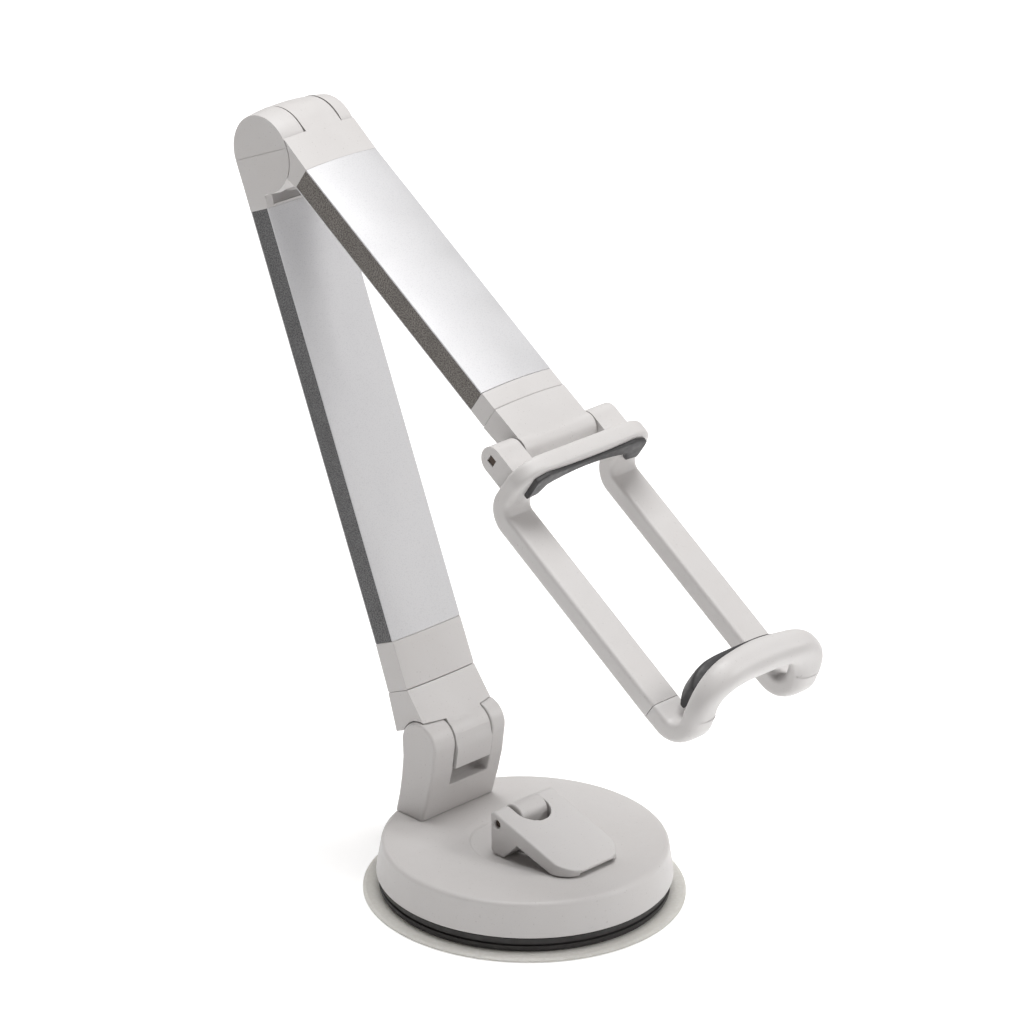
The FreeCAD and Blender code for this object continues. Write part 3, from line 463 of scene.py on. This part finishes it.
def swept_bar(node, left_half):
    """A bent moulded bar, the same on both sides of the middle, in place of a CAD node."""
    stations = left_half + [station.mirrored() for station in reversed(left_half[:-1])]
    count = RING_POINTS
    points = [point * MM for station in stations for point in station.ring(count)]
    faces = []
    for i in range(len(stations) - 1):
        for j in range(count):
            a, b = i * count + j, i * count + (j + 1) % count
            faces.append((a, b, b + count, a + count))
    faces.append(tuple(reversed(range(count))))
    faces.append(tuple(range(len(points) - count, len(points))))
    mesh = bpy.data.meshes.new(f"{node}_bar")
    mesh.from_pydata(points, [], faces)
    mesh.transform(CLAMP)
    fix_normals(mesh)
    for polygon in mesh.polygons:
        polygon.use_smooth = len(polygon.vertices) == 4
    piece = bpy.data.objects.new(f"{node}_bar", mesh)
    bpy.context.scene.collection.objects.link(piece)
    rim = piece.modifiers.new("rim", "BEVEL")
    rim.width = 0.15 * MM
    rim.segments = 2
    rim.limit_method = "ANGLE"
    rim.angle_limit = math.radians(60)
    stand_in(piece, node)


def hinge_ears(node):
    """The clamp hinge's two ears, cut from the CAD node so that their square holes stay crisp."""
    for side, name in ((-1, "left"), (1, "right")):
        mesh = frame["nodes"][node].data.copy()
        mesh.transform(CLAMP.inverted())
        shape = bmesh.new()
        shape.from_mesh(mesh)
        bmesh.ops.remove_doubles(shape, verts=shape.verts, dist=0.000002)
        cuts = (((0, 0, 8.4), (0, 0, 1)), ((side * 13.45, 0, 0), (-side, 0, 0)),
                ((side * 22.0, 0, 0), (side, 0, 0)), ((0, -4.2, 0), (0, -1, 0)), ((0, 4.2, 0), (0, 1, 0)))
        for place, normal in cuts:
            bmesh.ops.bisect_plane(shape, geom=shape.verts[:] + shape.edges[:] + shape.faces[:],
                                   plane_co=Vector(place) * MM, plane_no=normal, clear_outer=True)
            rims = [edge for edge in shape.edges if edge.is_boundary]
            bmesh.ops.holes_fill(shape, edges=rims, sides=0)
        bmesh.ops.recalc_face_normals(shape, faces=shape.faces)
        shape.to_mesh(mesh)
        shape.free()
        add_trim(f"{node}_{name}_ear", mesh, node, 0.30)


def pin_ends(node):
    """Dark square ends of the hinge pin, set just inside the holes of the ears."""
    for side, name in ((-1, "left"), (1, "right")):
        mesh = bpy.data.meshes.new(f"{node}_{name}_end")
        shape = bmesh.new()
        bmesh.ops.create_cube(shape, size=1.0)
        bmesh.ops.scale(shape, vec=Vector((0.85, 2.2, 2.2)) * MM, verts=shape.verts)
        bmesh.ops.translate(shape, vec=Vector((side * 21.25, 0, 0)) * MM, verts=shape.verts)
        shape.to_mesh(mesh)
        shape.free()
        add_trim(f"{node}_{name}_end", mesh, node, 0.12)


MOULDED = {
    "lever": (BASE, 0.25, 4),
    "hinge_bracket": (BASE, 0.30, 4),
}

ROUNDING = {
    "base_housing": 0.25,
    "suction_stem": 0.25,
    "lower_knuckle": 0.45,
    "lower_collar": 0.45,
    "elbow_clevis": 0.55,
    "elbow_tongue": 0.45,
    "upper_collar": 0.40,
    "head_knuckle": 0.50,
    "lower_front_plate": 0.12,
    "lower_rear_plate": 0.12,
    "upper_top_plate": 0.12,
    "upper_under_plate": 0.12,
    "clamp_pin": 0.15,
}

for name, obj in frame["nodes"].items():
    paint(obj, SLOT_OF[name])
for name, width in ROUNDING.items():
    soften_edges(frame["nodes"][name], width * MM)
for name, (turn, voxel, passes) in MOULDED.items():
    moulded(name, turn, voxel * MM, passes)
swept_bar("clamp_frame", frame_stations())
swept_bar("jaw", jaw_stations())
swept_bar("top_pad", top_pad_stations())
swept_bar("jaw_pad", jaw_pad_stations())
hinge_ears("clamp_frame")
pin_ends("clamp_pin")


# ---------------------------------------------------------------- floor, light and camera


def make_floor():
    bpy.ops.mesh.primitive_plane_add(size=12.0, location=(0.0, 0.0, -0.0002))
    floor = bpy.context.object
    floor.name = "floor"
    surface = Surface("studio floor", (0.90, 0.90, 0.90), 0.9, Emission_Strength=0.32)
    surface.shader.inputs["Emission Color"].default_value = (1.0, 1.0, 1.0, 1.0)
    surface.tint(surface.noise(3.0), (0.995, 0.995, 0.995))
    floor.data.materials.append(surface.material)


def area_light(name, place, target, width, height, power, color):
    light = bpy.data.lights.new(name, "AREA")
    light.shape = "RECTANGLE"
    light.size = width
    light.size_y = height
    light.energy = power
    light.color = color
    obj = bpy.data.objects.new(name, light)
    bpy.context.scene.collection.objects.link(obj)
    obj.location = place
    obj.rotation_euler = (Vector(target) - Vector(place)).to_track_quat("-Z", "Y").to_euler()


def light_the_scene():
    world = bpy.data.worlds.new("studio")
    world.use_nodes = True
    background = world.node_tree.nodes["Background"]
    background.inputs["Color"].default_value = (1.0, 0.93, 0.88, 1.0)
    background.inputs["Strength"].default_value = 0.13
    bpy.context.scene.world = world
    middle = (0.0, 0.0, 0.10)
    area_light("overhead", (0.15, 0.05, 1.75), middle, 1.1, 1.1, 29.0, (1.0, 1.0, 1.0))
    area_light("key", (0.95, -1.15, 1.00), middle, 0.7, 0.7, 8.5, (1.0, 0.99, 0.985))
    area_light("front", (-0.55, -1.50, 0.70), middle, 0.8, 0.6, 1.0, (0.97, 0.975, 1.0))
    area_light("rim", (0.20, 1.30, 0.90), middle, 0.8, 0.6, 4.0, (1.0, 0.99, 0.98))
    bpy.context.scene.view_settings.view_transform = "Standard"


def aim_camera():
    """The camera of the reference view: azimuth, height angle, roll and distance."""
    azimuth = math.radians(-45.81)
    elevation = math.radians(23.27)
    roll = math.radians(0.9)
    back = Vector((math.sin(azimuth) * math.cos(elevation),
                   -math.cos(azimuth) * math.cos(elevation), math.sin(elevation)))
    right = Vector((math.cos(azimuth), math.sin(azimuth), 0.0))
    up = back.cross(right)
    turned_right = math.cos(roll) * right + math.sin(roll) * up
    turned_up = math.cos(roll) * up - math.sin(roll) * right
    camera = bpy.data.cameras.new("camera")
    camera.lens = 195.4
    camera.sensor_width = 36.0
    camera.clip_end = 50.0
    obj = bpy.data.objects.new("camera", camera)
    bpy.context.scene.collection.objects.link(obj)
    place = Vector((-7.27, 0.0, 111.83)) * MM + back * 1.4448
    obj.matrix_world = Matrix.Translation(place) @ Matrix(
        (turned_right, turned_up, back)).transposed().to_4x4()
    bpy.context.scene.camera = obj


make_floor()
light_the_scene()
aim_camera()
